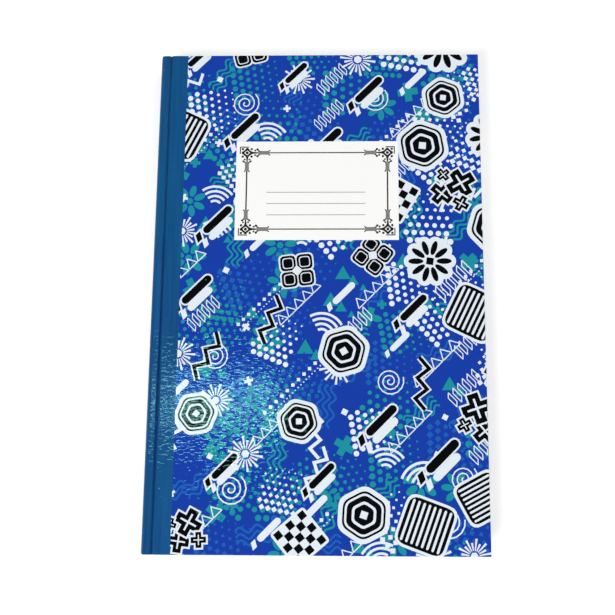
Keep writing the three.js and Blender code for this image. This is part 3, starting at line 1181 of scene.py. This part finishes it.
def title_label():
    """The label with its frame and three writing lines."""
    art = Artwork("paper")
    left = label_low.x + FRAME_FROM_SIDE
    right = label_high.x - FRAME_FROM_SIDE
    bottom = label_low.y + FRAME_FROM_BOTTOM
    top = label_high.y - FRAME_FROM_TOP
    upright = SPINDLE_REACH * SPINDLE_UPRIGHT
    for y in (bottom, top):
        art.line("grey", [(left + SPINDLE_REACH, y), (right - SPINDLE_REACH, y)], 0.8)
    for x in (left, right):
        art.line("grey", [(x, bottom + upright), (x, top - upright)], 1.0)
    for x, side_x in ((left, -1), (right, 1)):
        for y, side_y in ((bottom, -1), (top, 1)):
            corner_ornament(art, x, y, side_x, side_y)
    middle = (label_low.x + label_high.x) / 2 - 0.7
    for row in range(3):
        y = label_high.y - FIRST_LINE_FROM_TOP - LINE_PITCH * row
        art.fill("rule", moved(rectangle(LINE_LENGTH, LINE_WIDTH), middle, y))
    outline = [(label_low.x, label_low.y), (label_high.x, label_low.y)]
    outline += [(label_high.x, label_high.y), (label_low.x, label_high.y)]
    bm = cut_sheet(art, outline, [])
    for vert in bm.verts:
        vert.co.z = label_high.z
    return thicken(object_from(bm, "title_label", LABEL), label_high.z - label_low.z)


def folded_sheet_path(outer_x, middle_z, radius):
    """Across one folded sheet: lower leaf, fold and upper leaf."""
    centre = fold_low.x + (fold_high.z - fold_low.z) / 2
    steps = 6
    lower = [(x, middle_z - radius) for x in (outer_x, *GUTTER)]
    around = []
    for i in range(steps + 1):
        angle = -math.pi / 2 - math.pi * i / steps
        around.append((centre + radius * math.cos(angle), middle_z + radius * math.sin(angle)))
    upper = [(x, middle_z + radius) for x in (*reversed(GUTTER), outer_x)]
    return lower + around + upper


def grid_sheet(bm, path, low_y, high_y):
    for vert, column, row in grid_points(bm, len(path) - 1, 1):
        x, z = path[column]
        vert.co = Vector((x, high_y if row else low_y, z))


def section_sheets(index, rng):
    """One sewn section: folded sheets, one inside the other, with their edges slightly uneven."""
    name = f"section_{index + 1}"
    node = f"{name}_leaves" if index < SECTIONS_WITH_FRONT else name
    low, high = box_mm(node)
    middle = (low.z + high.z) / 2
    sheet_pitch = (high.z - low.z) / LEAVES_IN_SECTION
    bm = bmesh.new()
    for k in range(LEAVES_IN_SECTION // 2):
        radius = sheet_pitch * (k + 0.5)
        path = folded_sheet_path(high.x - rng.uniform(0.0, UNEVEN_FORE_EDGE), middle, radius)
        tail = low.y + rng.uniform(0.0, UNEVEN_HEAD)
        grid_sheet(bm, path, tail, high.y - rng.uniform(0.0, UNEVEN_HEAD))
    return thicken(object_from(bm, f"{name}_sheets", LEAVES), sheet_pitch * SHEET_SHARE, 0.0)


def flyleaf_sheet(name, over):
    z = (flyleaf_low.z + flyleaf_high.z) / 2
    bm = bmesh.new()
    path = [(x, z) for x in (flyleaf_high.x, *GUTTER, fold_low.x)]
    grid_sheet(bm, path, flyleaf_low.y, flyleaf_high.y)
    return thicken(object_from(bm, name, ENDPAPER, over), ENDPAPER_THICKNESS, 0.0)


def pastedown_sheet(name, over):
    """The pastedown, laid on the turn-ins and pressed to the board inside them, hinged in the gutter."""
    on_turn_in = pastedown_low.z + ENDPAPER_THICKNESS / 2
    pressed = board_low.z - ENDPAPER_THICKNESS / 2
    lip = 0.6
    across = [fold_low.x, GROOVE_X - 3.0, GROOVE_X - 2.0, GROOVE_X - 1.0, GROOVE_X, board_low.x]
    across += [FORE_X - TURN_IN - lip, FORE_X - TURN_IN, pastedown_high.x]
    half = HALF_HEIGHT - TURN_IN
    along = [pastedown_low.y, -half, -half + lip, half - lip, half, pastedown_high.y]
    bm = bmesh.new()
    for vert, column, row in grid_points(bm, len(across) - 1, len(along) - 1):
        inside = 5 <= column <= 6 and 2 <= row <= 3
        vert.co = Vector((across[column], along[row], pressed if inside else on_turn_in))
    return thicken(object_from(bm, name, ENDPAPER, over), ENDPAPER_THICKNESS, 0.0)


# Placing on the bodies


def seat(piece, slot, *nodes):
    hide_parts(*nodes)


def bend_from_block(piece, height=0.0):
    """Bakes the piece's placement into its mesh; the piece is not bent or put on a body."""
    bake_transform(piece)


def build_covers():
    for side, seed in (("front", 7), ("back", 21)):
        printed = cover_sheet(f"{side}_printed_sheet", seed, over=side == "back")
        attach(printed, f"{side}_cover")
        seat(printed, "printed_paper", f"{side}_cover_paper")
    label = title_label()
    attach(label, "front_cover")
    seat(label, "label", "label")


def build_tape():
    for side, height in (("front", BOOK_TOP), ("back", 0.0)):
        tape = tape_sheet(f"{side}_tape_sheet", over=side == "back")
        bend_from_block(tape, height)
        seat(tape, "tape", f"{side}_cover_tape", "spine_tape")
        strip = strip_board(f"{side}_strip_board", over=side == "back")
        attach(strip, "book_block")
        seat(strip, "board", f"{side}_hinge_strip")


def build_endpapers():
    for side in ("front", "back"):
        over = side == "back"
        flyleaf = flyleaf_sheet(f"{side}_flyleaf_sheet", over)
        bend_from_block(flyleaf)
        seat(flyleaf, "endpaper", f"{side}_flyleaf", f"{side}_endpaper_fold")
        pasted = pastedown_sheet(f"{side}_pastedown_sheet", over)
        bend_from_block(pasted)
        seat(pasted, "endpaper", f"{side}_pastedown")


def build_sections():
    rng = random.Random(5)
    for index in range(SECTIONS):
        sheets = section_sheets(index, rng)
        name = f"section_{index + 1}"
        if index < SECTIONS_WITH_FRONT:
            bend_from_block(sheets)
            seat(sheets, "leaves", f"{name}_leaves", f"{name}_fold")
        else:
            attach(sheets, "book_block")
            seat(sheets, "leaves", name)


def dress_cad_nodes():
    finishes = {"front_board": BOARD, "back_board": BOARD, "spine_lining": LINING, "spine_glue": GLUE}
    for node, finish in finishes.items():
        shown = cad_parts[node]
        shown.data.materials.clear()
        shown.data.materials.append(finish)


# Stage, light and camera

WHITE = (1.0, 1.0, 1.0, 1.0)
FLOOR_GLOW = 0.4
FLOOR_GLOW_FROM = 0.35
FLOOR_WHITE_FROM = 1.4


def floor_material():
    """Matt white that keeps the shadow of the book and goes over into the white background far from it."""
    sh = Finish("white floor")
    sh.fix(Base_Color=(0.8, 0.8, 0.8, 1.0), Roughness=1.0, Specular_IOR_Level=0.0, Emission_Color=WHITE)
    away = sh.node("ShaderNodeVectorMath", {0: sh.place}, operation="LENGTH").outputs["Value"]
    far = sh.ramp(away, FLOOR_GLOW_FROM, FLOOR_WHITE_FROM)
    glow = sh.math("MULTIPLY_ADD", far, 1.0 - FLOOR_GLOW, FLOOR_GLOW)
    seen = sh.node("ShaderNodeLightPath").outputs["Is Camera Ray"]
    sh.join(sh.times(seen, glow), sh.surface.inputs["Emission Strength"])
    return sh.material


def build_stage():
    """The floor, and a sky that is white to the camera, plain to the light and dimmer in reflections."""
    bpy.ops.mesh.primitive_plane_add(size=12.0, location=(0.0, 0.0, -0.0004))
    floor = bpy.context.active_object
    floor.name = "floor"
    floor.data.materials.append(floor_material())
    world = bpy.data.worlds.new("studio")
    bpy.context.scene.world = world
    world.use_nodes = True
    sh = Shader(world.node_tree)
    sky = sh.node("ShaderNodeBackground")
    sh.node("ShaderNodeOutputWorld", {"Surface": sky.outputs[0]})
    view = sh.node("ShaderNodeTexCoord").outputs["Generated"]
    high = sh.ramp(sh.node("ShaderNodeSeparateXYZ", {0: view}).outputs["Z"], 0.1, 0.8)
    mirrored = sh.mix(high, (0.3, 0.32, 0.35, 1.0), (0.05, 0.055, 0.065, 1.0))
    path = sh.node("ShaderNodeLightPath").outputs
    shade = sh.mix(path["Is Glossy Ray"], (0.32, 0.33, 0.34, 1.0), mirrored)
    sh.join(sh.mix(path["Is Camera Ray"], shade, WHITE), sky.inputs["Color"])


def area_light(name, place, target, size, power, colour, size_y=None):
    """A lamp that faces its target with its longer side along X."""
    data = bpy.data.lights.new(name, "AREA")
    data.energy = power
    data.color = colour
    data.size = size
    if size_y:
        data.shape = "RECTANGLE"
        data.size_y = size_y
    lamp = bpy.data.objects.new(name, data)
    bpy.context.scene.collection.objects.link(lamp)
    lamp.location = place
    away = (Vector(place) - Vector(target)).normalized()
    up = away.cross(Vector((1.0, 0.0, 0.0))).normalized()
    lamp.rotation_mode = "QUATERNION"
    lamp.rotation_quaternion = Matrix((up.cross(away), up, away)).transposed().to_quaternion()
    return lamp


def build_lights():
    """Two softboxes light the book. A narrow window is seen only as its gleam on the film."""
    origin = (0.0, 0.0, 0.0)
    warm = (1.0, 0.985, 0.965)
    soft = (1.0, 0.985, 0.97)
    key = area_light("key softbox", (-1.5, -1.8, 1.7), origin, size=1.6, power=72.0, colour=warm)
    fill = area_light("fill softbox", (1.9, 1.7, 1.9), origin, size=1.8, power=48.0, colour=soft)
    key.visible_glossy = False
    fill.visible_glossy = False
    place = (-0.327, 0.026, 1.5)
    gleam = (-0.06, -0.06, 0.0)
    tint = (0.36, 1.0, 0.88)
    window = area_light("window", place, gleam, size=0.345, power=0.88, colour=tint, size_y=0.045)
    window.visible_diffuse = False


def build_camera():
    data = bpy.data.cameras.new("camera")
    data.sensor_width = SENSOR_MM
    data.lens = LENS_PX * SENSOR_MM / PICTURE_PX
    data.shift_x = -CENTRE_OFFSET_PX[0] / PICTURE_PX
    data.shift_y = CENTRE_OFFSET_PX[1] / PICTURE_PX
    data.clip_start = 0.01
    camera = bpy.data.objects.new("camera", data)
    bpy.context.scene.collection.objects.link(camera)
    azimuth = math.radians(CAMERA_AZIMUTH)
    elevation = math.radians(CAMERA_ELEVATION)
    level = math.cos(elevation)
    back = Vector((math.sin(azimuth) * level, -math.cos(azimuth) * level, math.sin(elevation)))
    camera.location = CAMERA_TARGET + back * CAMERA_DISTANCE
    camera.rotation_mode = "QUATERNION"
    aimed = (-back).to_track_quat("-Z", "Y")
    camera.rotation_quaternion = aimed @ Quaternion((0.0, 0.0, 1.0), math.radians(CAMERA_ROLL))
    bpy.context.scene.camera = camera


bpy.context.scene.view_settings.view_transform = "Standard"
build_camera()
build_covers()
build_tape()
build_endpapers()
build_sections()
dress_cad_nodes()
build_stage()
build_lights()
